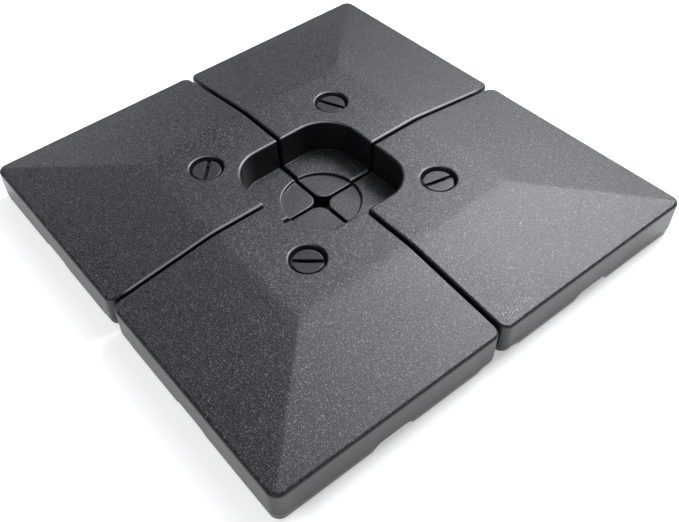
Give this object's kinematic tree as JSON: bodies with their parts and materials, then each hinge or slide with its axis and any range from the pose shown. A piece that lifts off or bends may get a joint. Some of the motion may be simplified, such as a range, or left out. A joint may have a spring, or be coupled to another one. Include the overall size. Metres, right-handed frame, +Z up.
{
  "type": "parasol base",
  "caption": "Square parasol base of fillable plastic ballast tanks with slotted filler plugs, bevelled top, hand grips and a central well for the mast.",
  "frame": {"origin": "on the ground, in the middle of the four tanks", "axes": "+Z up; X and Y along the two seams; the tank nearest the camera of the picture is the one at +X -Y (front right)"},
  "size_m": [1, 1, 0.1095],
  "materials": {
    "tank_plastic": "anthracite blow-moulded polyethylene, fine sand texture with a soft sheen",
    "plug_plastic": "injection-moulded, smooth satin",
    "gasket_rubber": "matt black"
  },
  "bodies": {
    "tank_rear_right": {"tank_rear_right": "tank_plastic"},
    "tank_rear_left": {"tank_rear_left": "tank_plastic"},
    "tank_front_left": {"tank_front_left": "tank_plastic"},
    "tank_front_right": {"tank_front_right": "tank_plastic"},
    "gasket_rear_right": {"gasket_rear_right": "gasket_rubber"},
    "plug_rear_right": {"filler_plug_rear_right": "plug_plastic"},
    "gasket_rear_left": {"gasket_rear_left": "gasket_rubber"},
    "plug_rear_left": {"filler_plug_rear_left": "plug_plastic"},
    "gasket_front_left": {"gasket_front_left": "gasket_rubber"},
    "plug_front_left": {"filler_plug_front_left": "plug_plastic"},
    "gasket_front_right": {"gasket_front_right": "gasket_rubber"},
    "plug_front_right": {"filler_plug_front_right": "plug_plastic"}
  },
  "joints": [
    {"name": "tank_rear_right_lift", "type": "slide", "parent": "tank_front_right", "child": "tank_rear_right", "axis": [0, 0, 1], "range_m": [0, 0.15]},
    {"name": "tank_rear_left_lift", "type": "slide", "parent": "tank_front_right", "child": "tank_rear_left", "axis": [0, 0, 1], "range_m": [0, 0.15]},
    {"name": "tank_front_left_lift", "type": "slide", "parent": "tank_front_right", "child": "tank_front_left", "axis": [0, 0, 1], "range_m": [0, 0.15]},
    {"name": "plug_rear_right_rise", "type": "slide", "parent": "tank_rear_right", "child": "gasket_rear_right", "axis": [0, 0, 1], "range_m": [0, 0.018]},
    {"name": "plug_rear_right_turn", "type": "hinge", "parent": "gasket_rear_right", "child": "plug_rear_right", "pos_m": [0.1672, 0.1672, 0.0964], "axis": [0, 0, 1], "range_deg": [0, 1080]},
    {"name": "plug_rear_left_rise", "type": "slide", "parent": "tank_rear_left", "child": "gasket_rear_left", "axis": [0, 0, 1], "range_m": [0, 0.018]},
    {"name": "plug_rear_left_turn", "type": "hinge", "parent": "gasket_rear_left", "child": "plug_rear_left", "pos_m": [-0.1672, 0.1672, 0.0964], "axis": [0, 0, 1], "range_deg": [0, 1080]},
    {"name": "plug_front_left_rise", "type": "slide", "parent": "tank_front_left", "child": "gasket_front_left", "axis": [0, 0, 1], "range_m": [0, 0.018]},
    {"name": "plug_front_left_turn", "type": "hinge", "parent": "gasket_front_left", "child": "plug_front_left", "pos_m": [-0.1672, -0.1672, 0.0964], "axis": [0, 0, 1], "range_deg": [0, 1080]},
    {"name": "plug_front_right_rise", "type": "slide", "parent": "tank_front_right", "child": "gasket_front_right", "axis": [0, 0, 1], "range_m": [0, 0.018]},
    {"name": "plug_front_right_turn", "type": "hinge", "parent": "gasket_front_right", "child": "plug_front_right", "pos_m": [0.1672, -0.1672, 0.0964], "axis": [0, 0, 1], "range_deg": [0, 1080]}
  ],
  "couplings": [
    {"joint": "plug_rear_right_rise", "follows": "plug_rear_right_turn", "m_per_rad": 0.000954},
    {"joint": "plug_rear_left_rise", "follows": "plug_rear_left_turn", "m_per_rad": 0.000954},
    {"joint": "plug_front_left_rise", "follows": "plug_front_left_turn", "m_per_rad": 0.000954},
    {"joint": "plug_front_right_rise", "follows": "plug_front_right_turn", "m_per_rad": 0.000954}
  ]
}
